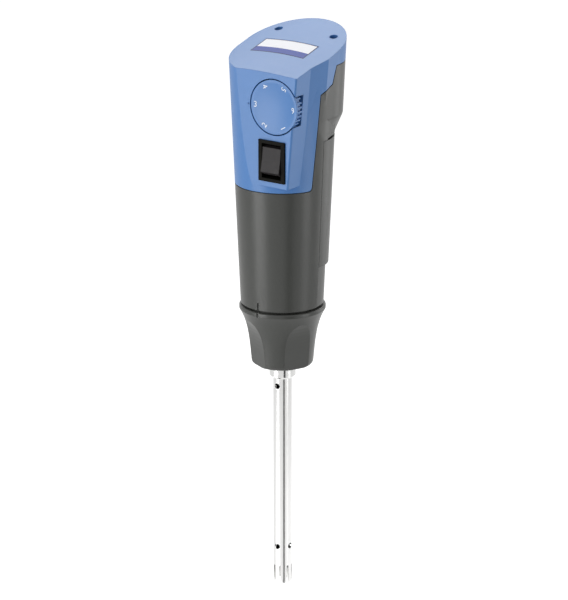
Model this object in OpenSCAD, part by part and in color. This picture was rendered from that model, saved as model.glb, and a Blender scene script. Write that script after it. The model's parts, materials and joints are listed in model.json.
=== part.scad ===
// Rotor stator homogenizer: a hand-held drive that clamps a slim dispersing tool.
// Z is the spindle axis and z = 0 is the open tip of the tool. The control panel faces -Y.

/* [Dispersing tool] */
// Length of the tool that stands out below the lock ring
tool_length = 125; // [118:1:135]
// Outer diameter of the stator tube
tube_d = 10; // [9.6:0.1:10.6]
// Wall of the stator tube
tube_wall = 1; // [0.8:0.1:1.2]
// Radial gap between the rotor and the stator
shear_gap = 0.15; // [0.1:0.05:0.25]
// Diameter of the drive shaft in the tube
rotor_shaft_d = 4; // [3.6:0.1:4.4]
// Length of the stator slots
slot_length = 10; // [8:0.5:12]
// Width of the stator slots
slot_w = 1.5; // [1.2:0.1:1.9]
// Number of stator slots
slot_count = 8; // [6:1:9]
// Height of the flow holes above the tip
flow_hole_z = 21; // [19:0.5:24]
// Diameter of the flow holes
flow_hole_d = 3.2; // [2.6:0.1:3.6]
// Distance of the vent hole below the lock ring
vent_drop = 12.5; // [11.5:0.5:15]
// Diameter of the clamping head
head_d = 14; // [13.4:0.1:14.6]
// Length of the clamping head that shows below the lock ring
head_drop = 8; // [6:0.5:9]

/* [Lock ring] */
// Height of the lock ring
ring_h = 33; // [31:0.5:36]
// Diameter at the foot of the lock ring
ring_foot_d = 32.4; // [31.6:0.2:34]
// Diameter at the lip of the lock ring
ring_lip_d = 45.6; // [44.8:0.2:47]
// Number of grip flats
flat_count = 4; // [3:1:6]
// Outer diameter of the clamping collet
collet_d = 18.4; // [18:0.2:19]

/* [Housing] */
// Diameter at the foot of the housing
body_foot_d = 44; // [43.2:0.2:45]
// Half angle of the housing cone in degrees
body_taper = 2.45; // [2.2:0.05:2.8]
// Height of the parting line above the housing foot
split_h = 65; // [62:0.5:68]
// Height of the top face above the parting line, on the axis
body_h = 69.9; // [69.5:0.1:74]
// Slope of the top face in degrees
top_slope = 14; // [12:0.5:16]
// Radius of the dome across the top face
dome_r = 300; // [200:10:400]
// Wall of the moulded shells
wall = 2.4; // [2:0.1:2.8]
// Distance that the head is drawn out to the back
back_depth = 8.8; // [7:0.2:10]
// Height of the foot of the back bulge above the parting line
bulge_h = 25.7; // [24:0.1:27]
// Height of the slope under the back bulge
bulge_slope_h = 9.8; // [8.8:0.2:10.8]
// Distance that the foot of the back bulge is drawn in
bulge_undercut = 4.2; // [3.4:0.1:5]
// Height that the rear cover stands out at the back
rear_out = 1.9; // [1.4:0.1:2.4]

/* [Control panel] */
// Distance of the panel from the spindle axis
panel_d = 24.9; // [24.4:0.1:25.6]
// Height of the foot of the panel above the parting line
panel_h = 3.8; // [3:0.2:5]
// Distance of the foot of the side facet from the spindle axis
facet_x = 20.6; // [20:0.2:22]
// Lean of the side facet in degrees
facet_lean = 5.3; // [4:0.1:6.5]
// Depth of the side facet
facet_depth = 12.4; // [11:0.2:14]
// Angle at which the flank spreads behind the facet
flank_spread = 10; // [6:0.5:12]
// Diameter of the speed dial
dial_d = 28.4; // [27.6:0.2:29.2]
// Width of the dial's grip rim
dial_t = 4.8; // [4:0.2:6]
// Depth of the pocket that the dial turns in
dial_pocket = 7.4; // [7:0.2:8.4]
// Depth of the dial's dished face
dial_dish = 1.2; // [0.6:0.1:1.4]
// Sideways place of the dial centre
dial_x = 12.1; // [11.8:0.1:13]
// Height of the dial centre above the parting line
dial_h = 46; // [45:0.5:48]
// Number of grip teeth round the dial
dial_teeth = 38; // [30:1:42]
// Width of the switch bezel
bezel_w = 16; // [15:0.5:17]
// Height of the switch bezel
bezel_h = 21.6; // [20:0.2:23]
// Sideways place of the switch centre
switch_x = 11.1; // [10.6:0.1:11.6]
// Height of the switch centre above the parting line
switch_h = 17.6; // [16.6:0.2:18]
// Travel of the rocker in degrees
rocker_travel = 18; // [12:1:20]

/* [Motor] */
// Diameter of the motor can
motor_d = 34; // [32:0.5:34]
// Length of the motor can
motor_l = 46; // [42:1:48]
// Diameter of the motor shaft
motor_shaft_d = 5; // [4.4:0.2:5.4]
// Outer diameter of the ball bearings
bearing_d = 13; // [12:0.5:14]
// Width of the ball bearings
bearing_w = 4; // [3.5:0.5:5]
// Number of fan blades
fan_blades = 9; // [7:1:11]
// Number of armature slots
armature_slots = 8; // [6:1:10]

/* [Support socket] */
// Core diameter of the thread for the support rod
rod_hole_d = 6.8; // [6.4:0.2:7.2]
// Depth of the thread for the support rod
rod_hole_l = 12; // [10:0.5:13]
// Height of the socket above the parting line
rod_h = 42; // [41:0.5:43]

/* [Hidden] */

eps = 0.01;           // overshoot of cuts
fit = 0.05;           // radial play of a running or sliding fit
gap = 0.3;            // air between pieces that must not touch
seam = 0.4;           // visible groove between two shells
$fn = 96;

// Heights along the spindle axis
ring_z = tool_length;
lip_z = ring_z + ring_h;
lip_gap = 1.2;
body_z = lip_z + lip_gap;
split_z = body_z + split_h;
top_z = split_z + body_h;
floor_t = 3;
floor_z = body_z + floor_t;
far = 90;             // reach of cutting shapes

// Radius of the housing cone at height z
function body_r(z) = body_foot_d / 2 + (z - body_z) * tan(body_taper);
// Height of the top face over the point x, y
function top_at(y, x = 0) =
    top_z + y * tan(top_slope) - (dome_r - sqrt(pow(dome_r, 2) - pow(x, 2))) / cos(top_slope);
// Points of an arc about [cx, cy]
function arc(cx, cy, r, a0, a1, n = 8) =
    [for (i = [0:n]) let (a = a0 + (a1 - a0) * i / n) [cx + r * cos(a), cy + r * sin(a)]];

// Extrudes a [y, z] outline across X
module side_prism(points, width = 2 * far)
    rotate([90, 0, 90]) translate([0, 0, -width / 2]) linear_extrude(width) polygon(points);

// Extrudes an [x, z] outline from y0 to y1
module front_prism(points, y0, y1)
    translate([0, y1, 0]) rotate([90, 0, 0]) linear_extrude(y1 - y0) polygon(points);

// Turns Z into the depth axis: children rise towards +Y from the point
module facing_back(x, y, z) translate([x, y, z]) rotate([-90, 0, 0]) children();

// Stands children on the sloping top face, with their Z along its normal
module on_top(x, y) translate([x, y, top_at(y, x)]) rotate([top_slope, 0, 0]) children();

module tube(h, d_out, d_in)
    difference() {
        cylinder(h = h, d = d_out);
        translate([0, 0, -eps]) cylinder(h = h + 2 * eps, d = d_in);
    }

// ---------------------------------------------------------------- housing forms

crown_z = top_at(back_depth + body_r(top_z)) + 1;
bulge_z = split_z + bulge_h;
panel_z = split_z + panel_h;

// Tapered round body, drawn in by inset
module body_cone(inset, z0, z1)
    translate([0, 0, z0]) cylinder(h = z1 - z0, r1 = body_r(z0) - inset, r2 = body_r(z1) - inset);

// Outline [radius, z] of the head that is drawn out to the back, from its foot up
bulge_round = 6;      // radius of the shoulder over the slope
function bulge_outline(inset) = let (
        foot_z = bulge_z + inset * 0.8,
        shoulder_z = foot_z + bulge_slope_h,
        shoulder_r = body_r(shoulder_z) - inset,
        lean = atan(bulge_undercut / bulge_slope_h),
        cut = bulge_round * tan((lean - body_taper) / 2),
        centre_r = shoulder_r + cut * sin(body_taper) - bulge_round * cos(body_taper),
        centre_z = shoulder_z + cut * cos(body_taper) + bulge_round * sin(body_taper))
    concat([[shoulder_r - bulge_undercut, foot_z]],
        arc(centre_r, centre_z, bulge_round, -lean, -body_taper, 6),
        [[body_r(crown_z) - inset, crown_z]]);

// Head drawn out to the back, with flat cheeks just inside the round
cheek_relief = 0.05;
module back_bulge(inset) {
    outline = bulge_outline(inset);
    half = [for (p = outline) [p[0] - cheek_relief, p[1]]];
    translate([0, back_depth, 0]) rotate_extrude()
        polygon(concat([[0, crown_z], [0, outline[0][1]]], outline));
    front_prism(concat(half, [for (i = [len(half) - 1:-1:0]) [-half[i][0], half[i][1]]]), 0, back_depth);
}

// Everything under the domed top face
module under_dome(inset)
    translate([0, 0, top_z]) rotate([top_slope, 0, 0]) translate([0, far, -dome_r]) rotate([90, 0, 0])
        cylinder(h = 2 * far, r = dome_r - inset, $fn = 360);

// Everything below the top face and behind the panel
module trim(inset, z0)
    intersection() {
        translate([-far, inset - panel_d, z0]) cube([2 * far, panel_d + far, crown_z + far]);
        under_dome(inset);
    }

// Square corner that carries the dial and the switch, with its facet and flank on the right
module console(inset, edge_r) {
    front_y = inset - panel_d;
    crease_y = facet_depth - panel_d;
    flank_x = -crease_y * tan(flank_spread);
    flank_fade = back_depth + 4;
    intersection() {
        translate([facet_x, 0, panel_z]) rotate([0, facet_lean, 0]) translate([-inset, 0, -far])
            linear_extrude(3 * far) {
                polygon([[-facet_x, 0], [-facet_x, front_y + edge_r], [0, front_y + edge_r], [0, crease_y],
                    [flank_x, 0], [flank_x - flank_fade * tan(flank_spread / 2), flank_fade]]);
                translate([-facet_x, front_y]) square([facet_x - edge_r, panel_d - inset]);
                translate([-edge_r, front_y + edge_r]) circle(edge_r);
            }
        trim(inset, panel_z + inset);
        translate([-3, -far, 0]) cube([far, 2 * far, crown_z + far]);
    }
}

// Outer form of the whole drive, or its inner form where inset is the wall
module drive_form(inset = 0, edge_r = 1) {
    intersection() {
        union() {
            body_cone(inset, body_z - (inset > 0 ? 1 : 0), crown_z);
            back_bulge(inset);
        }
        trim(inset, body_z - far);
    }
    console(inset, edge_r);
}

// Region in front of and above the line where the two shells meet, grown by grow
corner_r = 2;
split_y = -7.6;
cheek_y = split_y + 3.4;
cheek_z = split_z + 50.3;
step_y = cheek_y + 10;
step_z = split_z + 54.2;
rim_y = step_y + 2.9;
rim_z = split_z + 63.5;
module cover_region(grow = 0)
    side_prism(concat([[-far, split_z - grow]],
        arc(split_y + grow - corner_r, split_z - grow + corner_r, corner_r, -90, 0),
        [[cheek_y + grow, cheek_z - grow], [step_y + grow, step_z - grow], [rim_y + grow, rim_z - grow],
         [far, rim_z - grow], [far, far + crown_z], [-far, far + crown_z]]));

// ---------------------------------------------------------------- top cover

dial_z = split_z + dial_h;
dial_gap = 0.6;
pocket_wall = 1.6;
pocket_y = -panel_d + dial_pocket;
switch_z = split_z + switch_h;
bezel_t = 1;
switch_case_w = bezel_w - 2.4;
switch_case_h = bezel_h - 2;
pot_bush_d = 9;
screw_x = 17.2;
screw_y = 21.2;
screw_head_d = 4;
screw_d = 2.5;
screw_sink = 3;
screw_l = 12.5;
cross_w = 0.5;        // drive slot of the screws
cross_l = 2.4;
boss_d = 8;
boss_h = 8;
label_w = 33;
label_l = 14.8;
label_y = 2.1;
label_t = 0.5;
label_gap = 0.1;
index_d = 0.9;
index_sink = 0.4;

// Label outline: straight ends and gently bowed long sides
module label_outline(grow = 0) {
    bow_r = 180;
    rise = bow_r - sqrt(pow(bow_r, 2) - pow(label_w / 2, 2));
    half = asin(label_w / 2 / bow_r);
    edge_y = label_l / 2 + grow;
    intersection() {
        square([label_w + 2 * grow, 2 * label_l], center = true);
        polygon(concat(arc(0, edge_y - bow_r + rise / 2, bow_r, 90 - half * 1.1, 90 + half * 1.1),
            arc(0, -edge_y - bow_r + rise / 2, bow_r, 90 + half * 1.1, 90 - half * 1.1)));
    }
}

// Child outline as a skin that follows the dome between two depths
module top_skin(from, to)
    intersection() {
        on_top(0, label_y) translate([0, 0, -far / 2]) linear_extrude(far) children();
        difference() {
            under_dome(from);
            under_dome(to);
        }
    }

module control_cover() color("cornflowerblue")
    difference() {
        intersection() {
            cover_region();
            drive_form();
            union() {
                difference() {
                    translate([-far, -far, split_z - 1]) cube([2 * far, 2 * far, far + crown_z]);
                    drive_form(wall, 0.3);
                }
                facing_back(dial_x, -panel_d, dial_z)
                    cylinder(h = pocket_y + panel_d + pocket_wall, d = dial_d + 2 * (dial_gap + pocket_wall));
                for (side = [-1, 1]) on_top(side * screw_x, screw_y)
                    translate([0, 0, -boss_h]) cylinder(h = boss_h, d = boss_d);
            }
        }
        facing_back(dial_x, -panel_d - 2, dial_z)
            cylinder(h = pocket_y + panel_d + 2, d = dial_d + 2 * dial_gap);
        facing_back(dial_x, pocket_y - 1, dial_z) cylinder(h = 4, d = pot_bush_d + gap);
        translate([switch_x - switch_case_w / 2 - 0.1, -panel_d - 1, switch_z - switch_case_h / 2 - 0.1])
            cube([switch_case_w + 0.2, panel_d, switch_case_h + 0.2]);
        for (side = [-1, 1]) on_top(side * screw_x, screw_y) {
            translate([0, 0, -screw_sink - 2]) cylinder(h = 6, d = screw_head_d + 0.4, $fn = 48);
            translate([0, 0, -9]) cylinder(h = 9, d = screw_d + 0.2, $fn = 48);
        }
        top_skin(-1, label_t) label_outline(label_gap);
        facing_back(dial_x - dial_d / 2 - dial_gap - index_d, -panel_d - 1, dial_z)
            cylinder(h = 1 + index_sink, d = index_d, $fn = 32);
    }

module top_label() color("white") top_skin(0, label_t) label_outline();

module cover_screws() color("dimgray")
    for (side = [-1, 1]) on_top(side * screw_x, screw_y) difference() {
        union() {
            translate([0, 0, -screw_sink - 2]) cylinder(h = 2, d = screw_head_d, $fn = 48);
            translate([0, 0, -screw_sink - 1.5 - screw_l]) cylinder(h = screw_l, d = screw_d, $fn = 48);
        }
        for (turn = [0, 90]) rotate([0, 0, turn])
            translate([-cross_l / 2, -cross_w / 2, -screw_sink - 1]) cube([cross_l, cross_w, 2]);
    }

// ---------------------------------------------------------------- main housing

rear_sink = 0.8;      // depth of the seat of the rear cover
rear_lip = 0.1;       // step at the front edges of the rear cover
rear_play = 0.1;      // play in front of the rear cover
rear_head_h = 0.8;    // height of the rear screw heads
rear_foot = 0.35;     // recess of the back below the rear cover
seam_w = 0.5;         // side seam below the rear cover
seam_depth = 0.9;
rear_z0 = body_z + 21.7;
vent_h = 0.9;
rear_z1 = bulge_z - vent_h;
vent_y = 4.2;
vent_w = 10;
vent_pitch = 14;
spigot_d = 40;
neck_d = 25;
neck_flange_d = 34;
neck_flange_t = 2.5;
fan_room = 10;
plate_z = floor_z + neck_flange_t + fan_room;
plate_t = 2.5;
plate_fit = 0.2;
plate_hole_r = 12.2;  // circle of the air holes under the motor
plate_hole_d = 5.5;
can_hole_d = 5;
ledge_w = 2.6;
plate_screw_r = body_r(plate_z) - wall - 1.5;
plate_screw_d = 1.6;
rod_z = split_z + rod_h;
rod_seat_y = 18;
rod_mouth_y = body_r(rod_z) + back_depth - 0.5;
rod_socket_d = 12;
gland_z = split_z + 57;
gland_y = body_r(gland_z) + back_depth - 0.8;
gland_d = 10;
gland_flange_d = 13;
cord_hole_d = 6.4;
rear_screw_z = [rear_z0 + 8, rear_z1 - 8];
plate_screw_angles = [30, 210];
neck_screw_angles = [45, 135, 225, 315];
neck_screw_r = 14.8;

// Skin round the back of the housing cone, from skin_in inside it to skin_out outside it,
// with its outer face moved back by shift
module rear_skin(z0, z1, skin_in, skin_out, y0, shift = 0)
    intersection() {
        difference() {
            translate([0, shift, 0]) body_cone(-skin_out, z0, z1);
            body_cone(skin_in, z0 - 1, z1 + 1);
        }
        translate([-far, y0, z0]) cube([2 * far, far, z1 - z0]);
    }

module main_housing() color("dimgray")
    difference() {
        union() {
            difference() {
                intersection() {
                    drive_form();
                    translate([-far, -far, body_z]) cube([2 * far, 2 * far, far + crown_z]);
                }
                drive_form(wall, 0.3);
                cover_region(seam);
            }
            body_cone(1, body_z, floor_z);
            translate([0, 0, body_z - 2.4]) cylinder(h = 3, d = spigot_d);
            intersection() {
                body_cone(1, plate_z - 3, plate_z);
                difference() {
                    translate([0, 0, plate_z - 3]) cylinder(h = 3, r = far);
                    translate([0, 0, plate_z - 4]) cylinder(h = 5, r = body_r(plate_z) - wall - ledge_w);
                }
            }
            intersection() {
                back_bulge(0.2);
                union() {
                    facing_back(0, rod_seat_y, rod_z) cylinder(h = 30, d = rod_socket_d + 2 * wall);
                    for (side = [-1, 1]) on_top(side * screw_x, screw_y)
                        translate([0, 0, -30]) cylinder(h = 30 - boss_h - gap, d = boss_d);
                }
                union() {
                    translate([-far, -far, body_z]) cube([2 * far, 2 * far, rim_z - seam - body_z]);
                    drive_form(wall + gap);
                }
            }
        }
        translate([0, 0, body_z - 3]) cylinder(h = 8, d = neck_d + 2 * fit);
        facing_back(0, rod_seat_y + wall, rod_z) cylinder(h = 30, d = rod_socket_d);
        facing_back(0, rod_mouth_y, rod_z) cylinder(h = 9, d = rod_socket_d + 2);
        facing_back(0, 20, gland_z) cylinder(h = 30, d = gland_d + 0.2);
        facing_back(0, gland_y, gland_z) cylinder(h = 9, d = gland_flange_d + 0.4);
        for (side = [-1, 1]) on_top(side * screw_x, screw_y)
            translate([0, 0, -screw_sink - 16]) cylinder(h = 16, d = screw_d, $fn = 48);
        rear_skin(rear_z0 - 0.1, rear_z1 + eps, rear_sink, 2, 0);
        rear_skin(body_z - 1, rear_z0, rear_foot, 2, 0);
        rear_skin(rear_z1, bulge_z, wall - 0.8, 2, vent_y);
        for (i = [-1, 0, 1]) translate([i * vent_pitch - vent_w / 2, vent_y, rear_z1])
            cube([vent_w, far, vent_h]);
        translate([-0.6, -body_r(body_z) - 1, body_z - 1]) cube([1.2, 1.6, 5]);
        for (angle = neck_screw_angles) rotate([0, 0, angle]) translate([neck_screw_r, 0, body_z - 3])
            cylinder(h = 8, d = screw_d, $fn = 32);
        for (angle = plate_screw_angles) rotate([0, 0, angle]) translate([plate_screw_r, 0, plate_z - 2.5])
            cylinder(h = 4, d = plate_screw_d, $fn = 32);
        for (turn = [0, 180]) rotate([0, 0, turn])
            translate([body_r(body_z) - seam_depth, -seam_w / 2, body_z - 1])
                cube([4, seam_w, rear_z0 - body_z + 1]);
        for (z = rear_screw_z) facing_back(0, body_r(z) - 6, z) cylinder(h = 8, d = screw_d, $fn = 32);
    }

module rear_cover() color("gray")
    difference() {
        rear_skin(rear_z0, rear_z1, rear_sink - 0.1, rear_lip, rear_play, rear_out);
        for (z = rear_screw_z) facing_back(0, body_r(z) - 6, z) cylinder(h = 9, d = screw_d + 0.3, $fn = 32);
        for (z = rear_screw_z) facing_back(0, body_r(z), z) cylinder(h = 9, d = screw_head_d + 0.4, $fn = 32);
    }

module rear_screws() color("silver")
    for (z = rear_screw_z) difference() {
        union() {
            facing_back(0, body_r(z), z) cylinder(h = rear_head_h, d = screw_head_d, $fn = 48);
            facing_back(0, body_r(z) - wall - 1, z) cylinder(h = wall + 1, d = screw_d, $fn = 32);
        }
        translate([-cross_l / 2, body_r(z) + 0.3, z - cross_w / 2]) cube([cross_l, 2, cross_w]);
        translate([-cross_w / 2, body_r(z) + 0.3, z - cross_l / 2]) cube([cross_w, 2, cross_l]);
    }

module rod_socket() color("goldenrod")
    difference() {
        facing_back(0, rod_seat_y + wall, rod_z)
            cylinder(h = rod_mouth_y - rod_seat_y - wall, d = rod_socket_d);
        facing_back(0, rod_mouth_y - rod_hole_l, rod_z) cylinder(h = rod_hole_l + 1, d = rod_hole_d);
    }

module cord_gland() color("black")
    facing_back(0, gland_y, gland_z) difference() {
        union() {
            translate([0, 0, -wall - 2]) cylinder(h = wall + 4, d = gland_d);
            cylinder(h = 2, d = gland_flange_d);
            translate([0, 0, -wall - 2]) cylinder(h = 2, d = gland_d + 2);
        }
        translate([0, 0, -wall - 3]) cylinder(h = wall + 6, d = cord_hole_d);
    }

// ---------------------------------------------------------------- neck, collet and lock ring

head_top_z = ring_z + 24;
hub_z = ring_z + 27;
hub_d = 10;
seal_d = 15;
neck_z = ring_z + 5;
neck_bore_d = 12;
collet_z = ring_z + 2.6;
collet_len = 20;
collet_slots = 4;
ring_bore_d = neck_d + 2 * 0.1;

module spindle_neck() color("silver")
    difference() {
        union() {
            translate([0, 0, neck_z]) cylinder(h = floor_z - neck_z, d = neck_d);
            translate([0, 0, floor_z]) cylinder(h = neck_flange_t, d = neck_flange_d);
        }
        translate([0, 0, neck_z - 1]) cylinder(h = head_top_z + 0.6 - neck_z + 1, d = collet_d + 2 * fit);
        translate([0, 0, neck_z - eps]) cylinder(h = 2, d1 = collet_d + 3, d2 = collet_d);
        translate([0, 0, neck_z]) cylinder(h = 60, d = neck_bore_d);
        translate([0, 0, floor_z + neck_flange_t - 2]) cylinder(h = 3, d = seal_d);
        for (angle = neck_screw_angles) rotate([0, 0, angle]) translate([neck_screw_r, 0, floor_z - 1])
            cylinder(h = 5, d = screw_d + 0.2, $fn = 32);
    }

module neck_screws() color("silver")
    for (angle = neck_screw_angles) rotate([0, 0, angle]) translate([neck_screw_r, 0, 0]) {
        translate([0, 0, floor_z + neck_flange_t]) cylinder(h = 1.6, d = screw_head_d, $fn = 32);
        translate([0, 0, floor_z - floor_t + 0.5])
            cylinder(h = floor_t + neck_flange_t, d = screw_d, $fn = 32);
    }

module shaft_seal() color("black")
    translate([0, 0, floor_z + neck_flange_t - 2]) tube(1.8, seal_d, hub_d + 2 * fit);

// Slotted sleeve that the cone of the lock ring closes on the tool
module collet() color("lightsteelblue")
    translate([0, 0, collet_z]) difference() {
        rotate_extrude() polygon([
            [head_d / 2 + fit, 0], [collet_d / 2 - 1.6, 0], [collet_d / 2, 3.2],
            [collet_d / 2, collet_len], [head_d / 2 + fit, collet_len]]);
        for (i = [0:collet_slots - 1]) rotate([0, 0, i * 360 / collet_slots + 45])
            translate([0, -0.5, -1]) cube([far, 1, collet_len - 4]);
    }

// Outer radius of the lock ring: a trumpet that flares to the lip
ring_foot_r = ring_foot_d / 2;
ring_lip_r = ring_lip_d / 2;
flare_top = 0.935;    // share of the ring's height where the flare reaches the lip
flare_straight = 0.42;
flare_p = 4;
ring_edge = 0.9;
foot_edge = 1.4;
// Radius of the ring at the share t of its height
function ring_r(t) = let (u = min(t / flare_top, 1))
    ring_foot_r + (ring_lip_r - ring_foot_r) * (flare_straight * u + (1 - flare_straight) * pow(u, flare_p));

ring_wall = 3.2;      // wall outside the hollow under the lip
hub_clearance = 0.6;
ring_hub_r = neck_d / 2 + 2.4;
module lock_ring() color("gray")
    difference() {
        translate([0, 0, ring_z]) rotate_extrude() difference() {
            polygon(concat([[head_d / 2 + 0.5, 0]],
                arc(ring_foot_r - foot_edge, foot_edge, foot_edge, -90, -5),
                [for (i = [1:20]) let (t = i / 20 * flare_top) [ring_r(t), ring_h * t]],
                arc(ring_lip_r - ring_edge, ring_h - ring_edge, ring_edge, 5, 90),
                [[head_d / 2 + 0.5, ring_h]]));
            // Bore: cone over the collet, running surface on the neck, moulded hollow under the lip
            polygon([[0, -1], [0, ring_h + 1],
                [spigot_d / 2 + 0.6, ring_h + 1], [spigot_d / 2 + 0.6, ring_h - 4],
                [ring_r(0.75) - ring_wall, ring_h * 0.75], [ring_hub_r + hub_clearance, ring_h * 0.6],
                [ring_hub_r, ring_h * 0.6], [ring_hub_r, ring_h - 8], [ring_bore_d / 2, ring_h - 8],
                [ring_bore_d / 2, 4.6], [collet_d / 2 + 1, 4.6],
                [collet_d / 2 - 1.2, 1.8], [head_d / 2 + 0.6, 1.8], [head_d / 2 + 0.6, -1]]);
        }
        for (i = [0:flat_count - 1]) rotate([0, 0, i * 360 / flat_count - 25.4])
            grip_flat();
        translate([-0.5, -ring_lip_r - 1, lip_z - 4]) cube([1, 1.6, 8]);
    }

// Cutter for one grip flat, flaring out with the ring so that its top is an arch
flat_depth = 1.7;
module grip_flat()
    side_prism(concat([[ring_foot_r - flat_depth, ring_z - 1]],
        [for (i = [0:12]) let (t = i / 12 * 0.78)
            [ring_foot_r - flat_depth + 2.8 * t + 9.8 * pow(t, 4), ring_z + ring_h * t]],
        [[far, ring_z + ring_h * 0.78], [far, ring_z - 1]]));

// ---------------------------------------------------------------- motor

motor_z = plate_z + plate_t;
can_t = 1.5;
can_end_z = motor_z + motor_l;
core_d = 23.6;
core_l = 24;
core_z = motor_z + 13;
air_gap = 0.5;
magnet_d = motor_d - 2 * can_t;
carrier_t = 10;
lower_bearing_z = motor_z + 2;
upper_bearing_z = can_end_z + carrier_t - bearing_w - 1;
inner_race_d = motor_shaft_d + 2.6;
outer_race_d = bearing_d - 2.4;
commutator_d = 10;
winding_h = 4.5;
commutator_z = core_z + core_l + winding_h + gap;
commutator_l = upper_bearing_z - gap - commutator_z;
brush_z = can_end_z + 0.8;
brush_w = 3.6;
brush_l = 7;
holder_wall = 1.6;

module motor_plate() color("silver")
    difference() {
        translate([0, 0, plate_z]) cylinder(h = plate_t, r = body_r(plate_z) - wall - plate_fit);
        translate([0, 0, plate_z - 1]) cylinder(h = plate_t + 2, d = bearing_d - 1);
        for (i = [0:5]) rotate([0, 0, i * 60]) translate([plate_hole_r, 0, plate_z - 1])
            cylinder(h = plate_t + 2, d = plate_hole_d, $fn = 32);
        for (angle = plate_screw_angles) rotate([0, 0, angle]) translate([plate_screw_r, 0, plate_z - 1])
            cylinder(h = 5, d = plate_screw_d + 0.1, $fn = 32);
    }

module plate_screws() color("silver")
    for (angle = plate_screw_angles) rotate([0, 0, angle]) translate([plate_screw_r, 0, plate_z + plate_t]) {
        cylinder(h = 0.8, d = 2.2, $fn = 32);
        translate([0, 0, -plate_t - 2]) cylinder(h = plate_t + 2, d = plate_screw_d, $fn = 32);
    }

module motor_can() color("lightslategray")
    difference() {
        translate([0, 0, motor_z]) cylinder(h = motor_l, d = motor_d);
        translate([0, 0, motor_z + bearing_w + 3]) cylinder(h = motor_l, d = motor_d - 2 * can_t);
        translate([0, 0, motor_z + 1.4]) difference() {
            cylinder(h = bearing_w + 3, d = motor_d - 2 * can_t);
            translate([0, 0, -1]) cylinder(h = bearing_w + 6, d = bearing_d + 3);
        }
        translate([0, 0, motor_z - 1]) cylinder(h = 4, d = bearing_d - 3);
        translate([0, 0, lower_bearing_z]) cylinder(h = 20, d = bearing_d);
        for (i = [0:5]) rotate([0, 0, i * 60]) translate([plate_hole_r, 0, motor_z - 1])
            cylinder(h = 4, d = can_hole_d, $fn = 32);
    }

module motor_magnets() color("darkslategray")
    for (side = [0, 180]) rotate([0, 0, side]) translate([0, 0, core_z - 1])
        rotate([0, 0, 25]) rotate_extrude(angle = 130)
            translate([core_d / 2 + air_gap, 0]) square([(magnet_d - core_d) / 2 - air_gap, core_l + 2]);

// One ring of bearing balls, lying in the space between the two races
ball_count = 7;
module bearing_balls(z) color("silver") {
    ball_d = (outer_race_d - inner_race_d) / 2 - 0.06;
    for (i = [1:ball_count]) rotate([0, 0, i * 360 / ball_count])
        translate([(outer_race_d + inner_race_d) / 4, 0, z + bearing_w / 2]) sphere(d = ball_d, $fn = 24);
}

module outer_race(z) color("silver") translate([0, 0, z]) tube(bearing_w, bearing_d, outer_race_d);
module inner_race(z) color("silver") translate([0, 0, z]) tube(bearing_w, inner_race_d, motor_shaft_d);

module lower_bearing_race() outer_race(lower_bearing_z);
module upper_bearing_race() outer_race(upper_bearing_z);
module lower_bearing_balls() bearing_balls(lower_bearing_z);
module upper_bearing_balls() bearing_balls(upper_bearing_z);
module lower_inner_race() inner_race(lower_bearing_z);
module upper_inner_race() inner_race(upper_bearing_z);

module brush_carrier() color("darkolivegreen")
    difference() {
        union() {
            translate([0, 0, can_end_z]) cylinder(h = 3.2, d = motor_d);
            translate([0, 0, can_end_z]) cylinder(h = carrier_t, d = bearing_d + 4);
            translate([-motor_d / 2, -brush_w / 2 - holder_wall, can_end_z])
                cube([motor_d, brush_w + 2 * holder_wall, brush_w + 4]);
        }
        translate([0, 0, can_end_z - 1]) cylinder(h = carrier_t - bearing_w, d = commutator_d + 2);
        translate([0, 0, upper_bearing_z]) cylinder(h = 10, d = bearing_d);
        translate([0, 0, can_end_z]) cylinder(h = carrier_t - bearing_w, d = bearing_d - 3);
        translate([-motor_d / 2 - 1, -brush_w / 2 - 0.1, brush_z - 0.1])
            cube([motor_d + 2, brush_w + 0.2, brush_w + 0.2]);
        // Room for the switch and its terminals
        translate([switch_x - switch_case_w / 2 - gap, -far, switch_z - switch_case_h / 2 - gap])
            cube([switch_case_w + 2 * gap, far + switch_back_y + gap, far]);
        translate([switch_x - terminal_x - gap, -far, switch_z - terminal_top - gap])
            cube([2 * terminal_x + 2 * gap, far + switch_back_y + terminal_l + gap, far]);
    }

// Carbon brush on one side of the commutator
module carbon_brush(side) color([0.15, 0.15, 0.15])
    translate([side > 0 ? commutator_d / 2 + fit : -commutator_d / 2 - fit - brush_l, -brush_w / 2, brush_z])
        cube([brush_l, brush_w, brush_w]);
module brush_right() carbon_brush(1);
module brush_left() carbon_brush(-1);

module brush_springs() color("silver")
    for (side = [-1, 1]) translate([side * (commutator_d / 2 + fit + brush_l), 0, brush_z + brush_w / 2])
        rotate([0, side * 90, 0]) for (i = [0:4]) translate([0, 0, 0.5 + i * 1.2])
            rotate_extrude($fn = 32) translate([1.3, 0]) circle(d = 0.6, $fn = 16);

shaft_foot_z = hub_z + 6;
module motor_shaft() color("silver") translate([0, 0, shaft_foot_z])
    cylinder(h = upper_bearing_z + bearing_w + 0.5 - shaft_foot_z, d = motor_shaft_d);

// Laminated core with open slots for the windings
module armature_core() color("slategray")
    translate([0, 0, core_z]) linear_extrude(core_l) difference() {
        circle(d = core_d);
        circle(d = motor_shaft_d);
        for (i = [0:armature_slots - 1]) rotate(i * 360 / armature_slots) {
            translate([core_d / 2 - 5, 0]) circle(d = 4, $fn = 32);
            translate([core_d / 2 - 5, -0.6]) square([far, 1.2]);
        }
    }

module armature_windings() color("peru") {
    for (z = [core_z - winding_h, core_z + core_l]) translate([0, 0, z])
        tube(winding_h, core_d - 5, motor_shaft_d + 3);
    for (i = [0:armature_slots - 1]) rotate([0, 0, i * 360 / armature_slots])
        translate([core_d / 2 - 5, 0, core_z]) cylinder(h = core_l, d = 3.8, $fn = 32);
}

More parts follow.
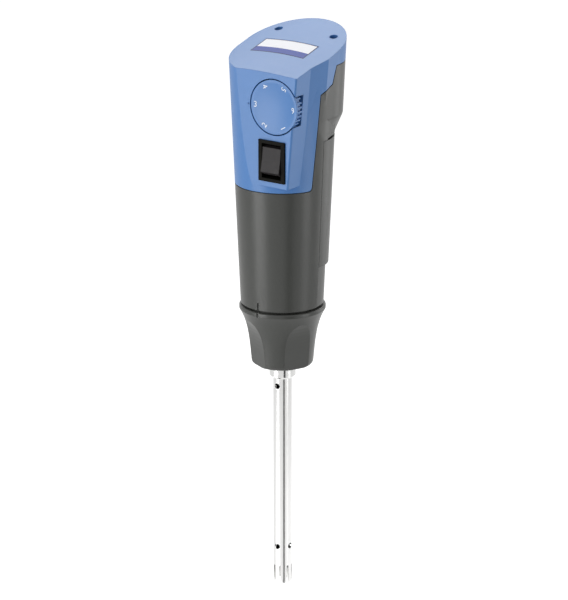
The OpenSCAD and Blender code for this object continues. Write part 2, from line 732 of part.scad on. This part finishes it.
module commutator() color("chocolate")
    translate([0, 0, commutator_z]) difference() {
        cylinder(h = commutator_l, d = commutator_d);
        translate([0, 0, -1]) cylinder(h = commutator_l + 2, d = motor_shaft_d);
        for (i = [0:2 * armature_slots - 1]) rotate([0, 0, (i + 0.5) * 180 / armature_slots])
            translate([commutator_d / 2 - 0.6, -0.15, -1]) cube([2, 0.3, commutator_l + 2]);
    }

fan_z = floor_z + neck_flange_t + 2;
fan_d = 33;
fan_h = 6;
fan_hub_d = 12;
fan_disc_t = 1.2;
blade_start = 5;
blade_l = 10.5;
blade_t = 1;
blade_lean = 25;
module cooling_fan() color("ivory")
    difference() {
        translate([0, 0, fan_z]) union() {
            cylinder(h = fan_h, d = fan_hub_d);
            cylinder(h = fan_disc_t, d = fan_d);
            for (i = [0:fan_blades - 1]) rotate([0, 0, i * 360 / fan_blades])
                translate([blade_start, 0, 0]) rotate([0, 0, blade_lean]) cube([blade_l, blade_t, fan_h]);
        }
        translate([0, 0, fan_z - 1]) cylinder(h = fan_h + 2, d = motor_shaft_d);
    }

// Female half of the coupling, slotted across its lower end
dog_w = 2.6;
dog_h = 4.6;
dog_play = 0.15;
module drive_hub() color("gray")
    translate([0, 0, hub_z]) difference() {
        cylinder(h = floor_z + neck_flange_t - 0.2 - hub_z, d = hub_d);
        translate([0, 0, shaft_foot_z - hub_z]) cylinder(h = far, d = motor_shaft_d);
        translate([-hub_d, -dog_w / 2 - dog_play, -1]) cube([2 * hub_d, dog_w + 2 * dog_play, dog_h + 0.9]);
    }

// ---------------------------------------------------------------- electronics

board_w = 34;
board_x = 2;
board_t = 1.6;
board_y = pocket_y + pocket_wall + 0.3;
board_z0 = dial_z - 16;
board_z1 = dial_z + 15;
board_hole_d = 2.8;
board_hole_edge = 3;
capacitor_d = 10;
capacitor_l = 16;
filter_size = [15, 9, 8];
triac_size = [10, 4.5, 6];
triac_tab_size = [12, 1.5, 7];

module control_board() color("darkgreen")
    difference() {
        translate([board_x - board_w / 2, board_y, board_z0]) cube([board_w, board_t, board_z1 - board_z0]);
        facing_back(dial_x, board_y - 1, dial_z) cylinder(h = 4, d = pot_bush_d + gap);
        for (side = [-1, 1], z = [board_z0 + board_hole_edge, board_z1 - board_hole_edge])
            facing_back(board_x + side * (board_w / 2 - board_hole_edge), board_y - 1, z)
                cylinder(h = board_t + 2, d = board_hole_d, $fn = 32);
    }

module board_capacitor() color("steelblue")
    facing_back(-9, board_y + board_t, dial_z + 7) cylinder(h = capacitor_l, d = capacitor_d);

module board_filter() color("gold")
    translate([-13, board_y + board_t, dial_z - 15]) cube(filter_size);

module board_triac() color("black") {
    translate([-14, board_y + board_t, dial_z - 5.5]) cube(triac_size);
    translate([-15, board_y + board_t + triac_size.y, dial_z - 6]) cube(triac_tab_size);
}

pot_d = 17;
pot_shaft_d = 6;
pot_body_l = 8;
pot_back_y = board_y + board_t + pot_body_l;
module speed_potentiometer() color("lightgray")
    difference() {
        union() {
            facing_back(dial_x, board_y + board_t, dial_z) cylinder(h = pot_body_l, d = pot_d);
            facing_back(dial_x, pocket_y + 0.2, dial_z)
                cylinder(h = board_y + board_t - pocket_y, d = pot_bush_d);
        }
        facing_back(dial_x, pocket_y - 1, dial_z)
            cylinder(h = pot_back_y - pocket_y - 1, d = pot_shaft_d + 2 * fit);
    }

// ---------------------------------------------------------------- speed dial

dial_shaft_sink = 2.2;
flange_t = 1;
knurl_w = 1.3;
knurl_depth = 1.3;
dish_rim = 1.4;
dial_web = 1.4;
dish_edge_r = dial_d / 2 - dish_rim;
dish_r = (pow(dish_edge_r, 2) + pow(dial_dish, 2)) / (2 * dial_dish);
hub_wall = 2.5;
module dial_wheel() color("cornflowerblue")
    facing_back(dial_x, -panel_d, dial_z) difference() {
        union() {
            cylinder(h = flange_t, d = dial_d);
            translate([0, 0, flange_t - eps]) linear_extrude(dial_t - flange_t + eps) difference() {
                circle(d = dial_d - 0.2);
                for (i = [0:dial_teeth - 1]) rotate(i * 360 / dial_teeth)
                    translate([dial_d / 2 - knurl_depth, -knurl_w / 2]) square([far, knurl_w]);
            }
            cylinder(h = dial_pocket - 0.4, d = pot_shaft_d + 2 * hub_wall);
        }
        // Dished face, and a hollow back round the hub
        translate([0, 0, dial_dish - dish_r]) rotate([90, 0, 0]) sphere(r = dish_r, $fn = 300);
        translate([0, 0, dial_dish + dial_web])
            tube(dial_t, dial_d - 2 * knurl_depth - 2, pot_shaft_d + 2 * hub_wall);
        translate([0, 0, dial_shaft_sink]) cylinder(h = dial_pocket, d = pot_shaft_d);
    }

module dial_shaft() color("silver")
    facing_back(dial_x, dial_shaft_sink - panel_d, dial_z)
        cylinder(h = pot_back_y - 2.5 + panel_d - dial_shaft_sink, d = pot_shaft_d);

// ---------------------------------------------------------------- rocker switch

rocker_w = bezel_w - 4.8;
rocker_face = 6.4;    // half height of the rocker's face
rocker_half = 7.6;
rocker_round = 2.2;   // depth of the slope at each end
rocker_dip = 0.4;
cavity_w = rocker_w + 2 * gap;
cavity_h = bezel_h - 3.4;
cavity_depth = 10;
rocker_pin_d = 2.4;
rocker_y = -panel_d + 3.4;
rocker_nose = rocker_y + panel_d + 1.6;
switch_back_y = -panel_d + 14;

module switch_case() color([0.09, 0.09, 0.1])
    difference() {
        union() {
            translate([switch_x - bezel_w / 2, -panel_d - bezel_t, switch_z - bezel_h / 2])
                cube([bezel_w, bezel_t, bezel_h]);
            translate([switch_x - switch_case_w / 2, -panel_d - eps, switch_z - switch_case_h / 2])
                cube([switch_case_w, switch_back_y + panel_d, switch_case_h]);
        }
        translate([switch_x - cavity_w / 2, -panel_d - 3, switch_z - cavity_h / 2])
            cube([cavity_w, 3 + cavity_depth, cavity_h]);
        translate([switch_x - switch_case_w / 2 + 0.35, rocker_y, switch_z]) rotate([0, 90, 0])
            cylinder(h = switch_case_w - 0.7, d = rocker_pin_d + 2 * fit, $fn = 48);
    }

module rocker() color([0.16, 0.15, 0.16])
    translate([switch_x, rocker_y, switch_z]) rotate([-rocker_travel / 2, 0, 0]) {
        side_prism([[-rocker_nose + rocker_dip, 0], [-rocker_nose, -rocker_face],
            [-rocker_nose + rocker_round, -rocker_half], [1, -rocker_half], [3, -2], [3, 2], [1, rocker_half],
            [-rocker_nose + rocker_round, rocker_half], [-rocker_nose, rocker_face]], rocker_w);
        rotate([0, 90, 0]) cylinder(h = switch_case_w - 0.9, d = rocker_pin_d, center = true, $fn = 48);
    }

terminal_w = 4.8;
terminal_l = 7;
terminal_t = 0.8;
terminal_pitch = 6;
terminal_x = 3.9;
terminal_top = terminal_pitch + terminal_w / 2;
module switch_terminals() color("silver")
    for (x = [-terminal_x, terminal_x - terminal_t], z = [-terminal_pitch, 0, terminal_pitch])
        translate([switch_x + x, switch_back_y, switch_z + z - terminal_w / 2])
            cube([terminal_t, terminal_l, terminal_w]);

// ---------------------------------------------------------------- dispersing tool

bore_d = tube_d - 2 * tube_wall;
head_z = ring_z - head_drop;
tube_top_z = ring_z + 6;
tenon_d = tube_d - 0.5;
bush_d = rotor_shaft_d + 3;
seal_z = head_top_z - 6;
head_foot_chamfer = 1.2;
head_top_chamfer = 0.8;
seal_section = 1.3;
seal_groove_h = 2;

module stator_tube() color("silver")
    difference() {
        union() {
            cylinder(h = head_z, d = tube_d);
            cylinder(h = tube_top_z, d = tenon_d);
        }
        translate([0, 0, -1]) cylinder(h = tube_top_z + 2, d = bore_d);
        for (i = [0:slot_count - 1]) rotate([0, 0, (i + 0.5) * 360 / slot_count]) {
            translate([0, -slot_w / 2, -1]) cube([tube_d, slot_w, slot_length + 1 - slot_w / 2]);
            translate([0, 0, slot_length - slot_w / 2]) rotate([0, 90, 0])
                cylinder(h = tube_d, d = slot_w, $fn = 24);
        }
        for (turn = [0, 90]) rotate([0, 0, turn]) translate([-tube_d, 0, flow_hole_z])
            rotate([0, 90, 0]) cylinder(h = 2 * tube_d, d = flow_hole_d, $fn = 48);
        translate([0, 0, ring_z - vent_drop]) rotate([90, 0, 0]) cylinder(h = tube_d, d = flow_hole_d, $fn = 48);
    }

module tool_head() color("gainsboro")
    difference() {
        translate([0, 0, head_z]) rotate_extrude() difference() {
            polygon([[tenon_d / 2, 0], [head_d / 2 - head_foot_chamfer, 0], [head_d / 2, head_foot_chamfer],
                [head_d / 2, head_top_z - head_z - head_top_chamfer],
                [head_d / 2 - head_top_chamfer, head_top_z - head_z], [0, head_top_z - head_z],
                [0, tube_top_z - head_z], [tenon_d / 2, tube_top_z - head_z]]);
            translate([head_d / 2 - seal_section, seal_z - head_z]) square([seal_section + 1, seal_groove_h]);
        }
        translate([0, 0, tube_top_z - 1]) cylinder(h = far, d = bush_d);
    }

module head_seal() color([0.1, 0.1, 0.1])
    translate([0, 0, seal_z + seal_groove_h / 2]) rotate_extrude()
        translate([(head_d - seal_section) / 2, 0]) circle(d = seal_section, $fn = 24);

module head_bush() color("darkgoldenrod")
    translate([0, 0, tube_top_z + 0.2]) tube(head_top_z - tube_top_z - 1, bush_d, rotor_shaft_d + 2 * fit);

slide_bearing_l = 8;
module slide_bearing() color("white")
    translate([0, 0, flow_hole_z + 6]) tube(slide_bearing_l, bore_d, rotor_shaft_d + 2 * fit);

rotor_d = bore_d - 2 * shear_gap;
dog_z = head_top_z + 1.2;
rotor_wall = 1.2;
rotor_hub_t = 2.5;
rotor_window_w = 2.6;
rotor_foot_z = 0.6;
rotor_top_z = slot_length + 2;
module rotor_shaft() color("silver")
    translate([0, 0, slot_length - 1]) cylinder(h = dog_z + 1 - slot_length + 1, d = rotor_shaft_d);

// Toothed rotor: a cup with two wide cutting windows
module rotor_blades() color("silver")
    difference() {
        translate([0, 0, rotor_foot_z]) cylinder(h = rotor_top_z - rotor_foot_z, d = rotor_d);
        translate([0, 0, -1]) cylinder(h = rotor_top_z - rotor_hub_t, d = rotor_d - 2 * rotor_wall);
        translate([0, 0, slot_length - 2]) cylinder(h = far, d = rotor_shaft_d);
        for (turn = [0, 90]) rotate([0, 0, turn]) translate([-rotor_d, -rotor_window_w / 2, -1])
            cube([2 * rotor_d, rotor_window_w, slot_length - 1]);
    }

dog_disc_t = 1.2;
module drive_dog() color("gray")
    translate([0, 0, dog_z]) difference() {
        union() {
            cylinder(h = dog_disc_t, d = hub_d - 2);
            intersection() {
                translate([-hub_d, -dog_w / 2, 0]) cube([2 * hub_d, dog_w, dog_h]);
                cylinder(h = dog_h + 1, d = hub_d - 1);
            }
        }
        translate([0, 0, -1]) cylinder(h = 2, d = rotor_shaft_d);
    }

module shaft_clip() color("silver")
    translate([0, 0, head_top_z + 0.2]) tube(0.6, rotor_shaft_d + 2.4, rotor_shaft_d);

control_cover();
main_housing();
rear_cover();
top_label();
cover_screws();
rear_screws();
spindle_neck();
neck_screws();
collet();
shaft_seal();
motor_plate();
plate_screws();
motor_can();
motor_magnets();
brush_carrier();
brush_left();
brush_right();
brush_springs();
lower_bearing_race();
upper_bearing_race();
lower_bearing_balls();
upper_bearing_balls();
control_board();
board_capacitor();
board_filter();
board_triac();
speed_potentiometer();
switch_case();
switch_terminals();
cord_gland();
rod_socket();
dial_wheel();
dial_shaft();
rocker();
lock_ring();
motor_shaft();
armature_core();
armature_windings();
commutator();
cooling_fan();
drive_hub();
lower_inner_race();
upper_inner_race();
stator_tube();
tool_head();
head_seal();
head_bush();
slide_bearing();
rotor_shaft();
rotor_blades();
drive_dog();
shaft_clip();
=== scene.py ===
import json
import math

import bpy
from mathutils import Matrix, Vector


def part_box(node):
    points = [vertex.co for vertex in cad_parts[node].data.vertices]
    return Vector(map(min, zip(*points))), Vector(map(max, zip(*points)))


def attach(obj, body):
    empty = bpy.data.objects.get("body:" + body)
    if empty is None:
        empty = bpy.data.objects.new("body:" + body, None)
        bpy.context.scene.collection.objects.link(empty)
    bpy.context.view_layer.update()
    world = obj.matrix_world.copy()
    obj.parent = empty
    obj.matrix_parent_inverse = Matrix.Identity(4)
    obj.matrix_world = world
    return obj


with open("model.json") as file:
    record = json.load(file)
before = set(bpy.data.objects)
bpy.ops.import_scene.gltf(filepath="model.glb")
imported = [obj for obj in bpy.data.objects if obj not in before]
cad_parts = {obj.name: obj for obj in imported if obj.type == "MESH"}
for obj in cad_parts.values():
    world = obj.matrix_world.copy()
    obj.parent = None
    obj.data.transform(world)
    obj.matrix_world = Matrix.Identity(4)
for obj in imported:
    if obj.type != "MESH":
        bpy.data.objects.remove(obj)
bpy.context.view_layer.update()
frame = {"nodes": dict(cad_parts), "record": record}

MM = 0.001

# The photograph's viewpoint, about the spindle axis
CAMERA_AZIMUTH = math.radians(35)
CAMERA_ELEVATION = math.radians(17.78)
CAMERA_DISTANCE = 1543 * MM
CAMERA_AIM = Vector((0.64, 0.45, 159.2)) * MM
LENS_MM = 176.0
SENSOR_MM = 36.0


# ------------------------------------------------------------------ places taken from the frame

def node_box(name):
    low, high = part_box(name)
    return Vector(low), Vector(high)


# ------------------------------------------------------------------ node helpers

def new_material(name):
    material = bpy.data.materials.new(name)
    material.use_nodes = True
    nodes = material.node_tree.nodes
    shader = nodes["Principled BSDF"]
    return material, nodes, material.node_tree.links, shader


def add(nodes, kind, **settings):
    node = nodes.new(kind)
    for key, value in settings.items():
        if hasattr(node, key):
            setattr(node, key, value)
        else:
            node.inputs[key].default_value = value
    return node


def object_coords(nodes):
    return nodes.new("ShaderNodeTexCoord").outputs["Object"]


def noise(nodes, links, coords, scale, detail=3.0, roughness=0.5):
    node = add(nodes, "ShaderNodeTexNoise", Scale=scale, Detail=detail, Roughness=roughness)
    links.new(coords, node.inputs["Vector"])
    return node.outputs["Fac"]


def spread(nodes, links, value, low, high):
    """Maps a 0 to 1 value to the range low to high."""
    node = add(nodes, "ShaderNodeMapRange")
    node.inputs["To Min"].default_value = low
    node.inputs["To Max"].default_value = high
    links.new(value, node.inputs["Value"])
    return node.outputs["Result"]


def tinted(nodes, links, value, dark, light):
    """Mixes two colours by a 0 to 1 value."""
    node = add(nodes, "ShaderNodeMix", data_type="RGBA")
    node.inputs["A"].default_value = (*dark, 1)
    node.inputs["B"].default_value = (*light, 1)
    links.new(value, node.inputs["Factor"])
    return node.outputs["Result"]


def shade(colour, factor):
    return tuple(min(channel * factor, 1) for channel in colour)


def bump(nodes, links, shader, height, distance, strength, edge=0.0):
    """Adds fine relief, over edges softened by the radius edge."""
    node = add(nodes, "ShaderNodeBump", Strength=strength, Distance=distance)
    links.new(height, node.inputs["Height"])
    if edge > 0:
        soft = add(nodes, "ShaderNodeBevel", samples=8, Radius=edge)
        links.new(soft.outputs["Normal"], node.inputs["Normal"])
    links.new(node.outputs["Normal"], shader.inputs["Normal"])


# ------------------------------------------------------------------ materials

# The label: radius of the arc that bows its long sides, share of its depth that the band takes, and its border,
# whose width counts more at the top and foot, which the camera sees at a slant
LABEL_BOW = 180 * MM
LABEL_BAND = 0.40
LABEL_BORDER = 0.55 * MM
TOP_BORDER, FOOT_BORDER = 1.2, 2.2
LABEL_FIELD, LABEL_BLUE, LABEL_EDGE = (0.90, 0.91, 0.95), (0.028, 0.062, 0.34), (0.01, 0.02, 0.09)

COVER_BLUE = (0.070, 0.200, 0.480)
HOUSING_GREY = (0.049, 0.051, 0.047)
RING_GREY = (0.042, 0.044, 0.040)

# Noise scales, in cells per metre
FLOW, HAZE, PATCH, SMEAR, RUBBER_GRAIN, LINES, GRAIN, FINE_GRAIN = 38, 60, 300, 500, 900, 900, 1500, 1800


def moulded_plastic(name, colour, roughness, grain=GRAIN, relief=0.02, edge=0.4 * MM, mottle=0.05):
    """Satin moulding: spark-eroded grain, faint flow mottling and softened edges."""
    material, nodes, links, shader = new_material(name)
    coords = object_coords(nodes)
    flow = noise(nodes, links, coords, FLOW, 2)
    links.new(tinted(nodes, links, flow, shade(colour, 1 - mottle), shade(colour, 1 + mottle)),
              shader.inputs["Base Color"])
    links.new(spread(nodes, links, noise(nodes, links, coords, PATCH, 3), roughness - 0.05, roughness + 0.05),
              shader.inputs["Roughness"])
    shader.inputs["IOR"].default_value = 1.5
    bump(nodes, links, shader, noise(nodes, links, coords, grain, 2), relief * MM, 0.35, edge)
    return material


def brushed_metal(name, colour, roughness, along=(1, 1, 1), edge=0.15 * MM):
    """Machined metal: fine lines, stretched by the factors in along, over a faint haze."""
    material, nodes, links, shader = new_material(name)
    shader.inputs["Metallic"].default_value = 1
    mapping = add(nodes, "ShaderNodeMapping")
    mapping.inputs["Scale"].default_value = along
    links.new(object_coords(nodes), mapping.inputs["Vector"])
    lines = noise(nodes, links, mapping.outputs["Vector"], LINES, 4, 0.6)
    haze = noise(nodes, links, object_coords(nodes), HAZE, 2)
    links.new(tinted(nodes, links, haze, shade(colour, 0.95), shade(colour, 1.03)),
              shader.inputs["Base Color"])
    links.new(spread(nodes, links, lines, roughness * 0.75, roughness * 1.3), shader.inputs["Roughness"])
    bump(nodes, links, shader, lines, 0.01 * MM, 0.12, edge)
    return material


def gloss_plastic(name, colour, roughness, specular=0.5):
    """Smooth moulding or coating, with a faint smear in its gloss."""
    material, nodes, links, shader = new_material(name)
    shader.inputs["Specular IOR Level"].default_value = specular
    coords = object_coords(nodes)
    haze = noise(nodes, links, coords, HAZE)
    links.new(tinted(nodes, links, haze, shade(colour, 0.9), shade(colour, 1.15)), shader.inputs["Base Color"])
    links.new(spread(nodes, links, noise(nodes, links, coords, SMEAR), roughness * 0.8, roughness * 1.25),
              shader.inputs["Roughness"])
    bump(nodes, links, shader, noise(nodes, links, coords, FINE_GRAIN), 0.01 * MM, 0.2, 0.25 * MM)
    return material


def maths(nodes, links, operation, *values):
    """A maths node over sockets and plain numbers."""
    node = add(nodes, "ShaderNodeMath", operation=operation)
    for index, value in enumerate(values):
        if isinstance(value, (int, float)):
            node.inputs[index].default_value = value
        else:
            links.new(value, node.inputs[index])
    return node.outputs["Value"]


def banded_label(name):
    """Printed film: a pale upper field over a blue band, inside a thin dark border. It carries no words."""
    material, nodes, links, shader = new_material(name)
    low, high = node_box("top_label")
    middle, half = (low + high) / 2, (high - low) / 2
    split = add(nodes, "ShaderNodeSeparateXYZ")
    links.new(object_coords(nodes), split.inputs["Vector"])
    # The long sides are bowed, so depth is counted from an arc
    across = maths(nodes, links, "SUBTRACT", split.outputs["X"], middle.x)
    bow = maths(nodes, links, "MULTIPLY", maths(nodes, links, "POWER", across, 2), 1 / (2 * LABEL_BOW))
    depth = maths(nodes, links, "ADD", maths(nodes, links, "SUBTRACT", split.outputs["Y"], middle.y), bow)
    band_top = -half.y + 2 * half.y * LABEL_BAND
    field = maths(nodes, links, "GREATER_THAN", depth, band_top)
    print_colour = tinted(nodes, links, field, LABEL_BLUE, LABEL_FIELD)
    end = maths(nodes, links, "GREATER_THAN", maths(nodes, links, "ABSOLUTE", across), half.x - LABEL_BORDER)
    top_edge = maths(nodes, links, "GREATER_THAN", depth, half.y - LABEL_BORDER * TOP_BORDER)
    foot_edge = maths(nodes, links, "LESS_THAN", depth, LABEL_BORDER * FOOT_BORDER - half.y)
    border = maths(nodes, links, "MAXIMUM", end, maths(nodes, links, "MAXIMUM", top_edge, foot_edge))
    bordered = add(nodes, "ShaderNodeMix", data_type="RGBA")
    bordered.inputs["B"].default_value = (*LABEL_EDGE, 1)
    links.new(print_colour, bordered.inputs["A"])
    links.new(border, bordered.inputs["Factor"])
    links.new(bordered.outputs["Result"], shader.inputs["Base Color"])
    links.new(spread(nodes, links, noise(nodes, links, object_coords(nodes), SMEAR), 0.28, 0.38),
              shader.inputs["Roughness"])
    shader.inputs["Specular IOR Level"].default_value = 0.15
    bump(nodes, links, shader, noise(nodes, links, object_coords(nodes), LINES), 0.005 * MM, 0.2)
    return material


SLOT_MATERIALS = {
    "cover_blue": moulded_plastic("cover_blue_satin", COVER_BLUE, 0.34),
    "housing_grey": moulded_plastic("housing_grey_satin", HOUSING_GREY, 0.30),
    "ring_grey": moulded_plastic("ring_grey_satin", RING_GREY, 0.30, edge=0.5 * MM),
    "label": banded_label("label_film"),
    "switch_black": gloss_plastic("switch_black", (0.005, 0.005, 0.004), 0.5, 0.06),
    "stainless": brushed_metal("stainless_ground", (0.84, 0.84, 0.83), 0.15, (1, 1, 0.05)),
    "steel": brushed_metal("steel_machined", (0.62, 0.62, 0.61), 0.28),
    "screw_steel": brushed_metal("screw_blackened", (0.10, 0.10, 0.11), 0.40),
    "aluminium": brushed_metal("aluminium_turned", (0.78, 0.79, 0.80), 0.30),
    "motor_iron": brushed_metal("motor_iron", (0.42, 0.43, 0.44), 0.35),
    "magnet": gloss_plastic("magnet_ferrite", (0.05, 0.05, 0.055), 0.5),
    "copper": brushed_metal("copper_wire", (0.78, 0.40, 0.22), 0.30),
    "brass": brushed_metal("brass_turned", (0.80, 0.62, 0.28), 0.25),
    "carbon": gloss_plastic("carbon_brush", (0.03, 0.03, 0.032), 0.45),
    "inner_plastic": moulded_plastic("inner_plastic", (0.06, 0.065, 0.06), 0.5),
    "white_plastic": moulded_plastic("white_plastic", (0.75, 0.75, 0.72), 0.45),
    "circuit_board": gloss_plastic("circuit_board", (0.02, 0.12, 0.05), 0.35),
    "component": gloss_plastic("component_case", (0.03, 0.05, 0.10), 0.35),
    "rubber": moulded_plastic("black_rubber", (0.02, 0.02, 0.02), 0.65, grain=RUBBER_GRAIN),
}

ROCKER_BLACK = gloss_plastic("rocker_black", (0.013, 0.011, 0.012), 0.4, 0.22)

node_slots = {part["node"]: part["material_slot"] for part in frame["record"]["subparts"]}
for node, obj in frame["nodes"].items():
    for index in range(max(1, len(obj.material_slots))):
        if not obj.material_slots:
            obj.data.materials.append(SLOT_MATERIALS[node_slots[node]])
        obj.material_slots[index].material = SLOT_MATERIALS[node_slots[node]]

frame["nodes"]["rocker"].material_slots[0].material = ROCKER_BLACK

# ------------------------------------------------------------------ dial numbers

PRINT_WHITE = moulded_plastic("print_white", (0.80, 0.84, 0.90), 0.5, edge=0)
NUMBER_HEIGHT = 3.2 * MM
NUMBER_RADIUS = 11.6 * MM
NUMBER_COUNT = 6
NUMBER_STEP = math.radians(60)
INDEX_NUMBER = 3
PRINT_LIFT = 0.06 * MM
PRINT_THICKNESS = 0.01 * MM
FONT_SIZE = NUMBER_HEIGHT * 1.35
DISH_DEPTH = 1.2 * MM
DISH_RADIUS = 12.8 * MM
DISH_TILT = math.atan(2 * DISH_DEPTH * NUMBER_RADIUS / DISH_RADIUS ** 2)


def print_number(number, centre, angle):
    """Stands one flat number on the dial face; angle runs clockwise from the index on the left."""
    curve = bpy.data.curves.new(f"dial_number_{number}", "FONT")
    curve.body = str(number)
    curve.size = FONT_SIZE
    curve.align_x = "CENTER"
    curve.align_y = "CENTER"
    curve.extrude = PRINT_THICKNESS
    obj = bpy.data.objects.new(f"dial_number_{number}", curve)
    bpy.context.collection.objects.link(obj)
    place = Vector((-math.cos(angle), 0, math.sin(angle))) * NUMBER_RADIUS
    obj.matrix_world = (Matrix.Translation(centre + place) @ Matrix.Rotation(angle, 4, "Y")
                        @ Matrix.Rotation(math.radians(90), 4, "X") @ Matrix.Rotation(DISH_TILT, 4, "Y"))
    obj.data.materials.append(PRINT_WHITE)
    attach(obj, "speed_dial")


dial_low, dial_high = node_box("dial_wheel")
dial_centre = (dial_low + dial_high) / 2
dish_fall = DISH_DEPTH * (1 - (NUMBER_RADIUS / DISH_RADIUS) ** 2)
dial_front = Vector((dial_centre.x, dial_low.y + dish_fall - PRINT_LIFT, dial_centre.z))
for number in range(1, NUMBER_COUNT + 1):
    print_number(number, dial_front, (number - INDEX_NUMBER) * NUMBER_STEP)

# ------------------------------------------------------------------ stage, light and camera

# White for camera and mirror rays, softer as a light, and the glow that brings the lit floor up to white
WHITE_LEVEL = 1.0
WORLD_LIGHT = 0.36
FLOOR_GLOW = 0.7
MIRRORED_GLOW = 0.32
FLOOR_SIZE = 30
FLOOR_Z = -0.45

# Softboxes that face the middle of the drive: azimuth and elevation in degrees, distance, width and height in
# metres, power in watts
LAMP_TARGET = Vector((0, 0, 0.22))
LAMPS = {
    "key": (-24, 6, 1.4, 0.8, 1.45, 13.6),
    "top": (-150, 54, 1.7, 1.4, 1.4, 16),
    "rim": (150, 2, 1.4, 0.7, 1.1, 3.2),
    "side": (97, 0, 1.4, 0.5, 1.1, 4.0),
}

# The dark card: azimuth in degrees, distance, width, height and height of its middle in metres
FLAG_AZIMUTH, FLAG_DISTANCE, FLAG_WIDTH, FLAG_HEIGHT, FLAG_Z = 53, 0.8, 0.24, 1.2, -0.05


def white_stage_material():
    """A pale floor that reads as white to the camera, keeps the object's shadow and is clear from below."""
    material, nodes, links, shader = new_material("stage_white")
    shader.inputs["Base Color"].default_value = (0.9, 0.9, 0.9, 1)
    shader.inputs["Roughness"].default_value = 0.9
    path = nodes.new("ShaderNodeLightPath")
    shader.inputs["Emission Color"].default_value = (1, 1, 1, 1)
    glow = maths(nodes, links, "MAXIMUM",
                 maths(nodes, links, "MULTIPLY", path.outputs["Is Camera Ray"], FLOOR_GLOW),
                 maths(nodes, links, "MULTIPLY", path.outputs["Is Glossy Ray"], MIRRORED_GLOW))
    links.new(glow, shader.inputs["Emission Strength"])
    one_sided = nodes.new("ShaderNodeMixShader")
    links.new(nodes.new("ShaderNodeNewGeometry").outputs["Backfacing"], one_sided.inputs["Fac"])
    links.new(shader.outputs["BSDF"], one_sided.inputs[1])
    links.new(nodes.new("ShaderNodeBsdfTransparent").outputs["BSDF"], one_sided.inputs[2])
    links.new(one_sided.outputs["Shader"], nodes["Material Output"].inputs["Surface"])
    return material


def stage_floor():
    bpy.ops.mesh.primitive_plane_add(size=FLOOR_SIZE, location=(0, 0, FLOOR_Z))
    floor = bpy.context.object
    floor.name = "floor"
    floor.data.materials.append(white_stage_material())


def white_world():
    """Even studio surround: plain white to the camera and in reflections, softer as a light."""
    world = bpy.data.worlds.new("studio")
    bpy.context.scene.world = world
    world.use_nodes = True
    nodes, links = world.node_tree.nodes, world.node_tree.links
    background = nodes["Background"]
    path = nodes.new("ShaderNodeLightPath")
    strength = add(nodes, "ShaderNodeMix", data_type="FLOAT")
    strength.inputs["A"].default_value = WORLD_LIGHT
    strength.inputs["B"].default_value = WHITE_LEVEL
    seen = maths(nodes, links, "MAXIMUM", path.outputs["Is Camera Ray"], path.outputs["Is Glossy Ray"])
    links.new(seen, strength.inputs["Factor"])
    links.new(strength.outputs["Result"], background.inputs["Strength"])
    background.inputs["Color"].default_value = (1, 1, 1, 1)


def soft_light(name, azimuth, elevation, distance, width, height, power):
    """A rectangular softbox that faces LAMP_TARGET."""
    lamp = bpy.data.lights.new(name, "AREA")
    lamp.shape = "RECTANGLE"
    lamp.size, lamp.size_y = width, height
    lamp.energy = power
    obj = bpy.data.objects.new(name, lamp)
    bpy.context.collection.objects.link(obj)
    azimuth, elevation = math.radians(azimuth), math.radians(elevation)
    away = Vector((math.sin(azimuth) * math.cos(elevation), -math.cos(azimuth) * math.cos(elevation),
                   math.sin(elevation)))
    obj.location = LAMP_TARGET + away * distance
    obj.rotation_euler = away.to_track_quat("Z", "Y").to_euler()


def dark_flag(name):
    """A dark upright card beside the camera, which draws the dark band down rounded glossy forms."""
    azimuth = math.radians(FLAG_AZIMUTH)
    away = Vector((math.sin(azimuth), -math.cos(azimuth), 0))
    bpy.ops.mesh.primitive_plane_add(size=1, location=away * FLAG_DISTANCE + Vector((0, 0, FLAG_Z)))
    card = bpy.context.object
    card.name = name
    card.scale = (FLAG_WIDTH, FLAG_HEIGHT, 1)
    card.rotation_euler = away.to_track_quat("Z", "Y").to_euler()
    material, nodes, links, shader = new_material(name)
    shader.inputs["Base Color"].default_value = (0.03, 0.03, 0.03, 1)
    shader.inputs["Roughness"].default_value = 1
    card.data.materials.append(material)
    card.visible_camera = False
    card.visible_diffuse = False
    card.visible_shadow = False


def photo_camera():
    camera = bpy.data.cameras.new("camera")
    camera.sensor_fit = "VERTICAL"
    camera.sensor_height = SENSOR_MM
    camera.lens = LENS_MM
    camera.clip_end = 50
    obj = bpy.data.objects.new("camera", camera)
    bpy.context.collection.objects.link(obj)
    away = Vector((math.sin(CAMERA_AZIMUTH) * math.cos(CAMERA_ELEVATION),
                   -math.cos(CAMERA_AZIMUTH) * math.cos(CAMERA_ELEVATION), math.sin(CAMERA_ELEVATION)))
    obj.location = CAMERA_AIM + away * CAMERA_DISTANCE
    obj.rotation_euler = away.to_track_quat("Z", "Y").to_euler()
    bpy.context.scene.camera = obj


stage_floor()
white_world()
for lamp_name, placing in LAMPS.items():
    soft_light(lamp_name, *placing)
dark_flag("flag")
photo_camera()
bpy.context.scene.view_settings.view_transform = "Standard"
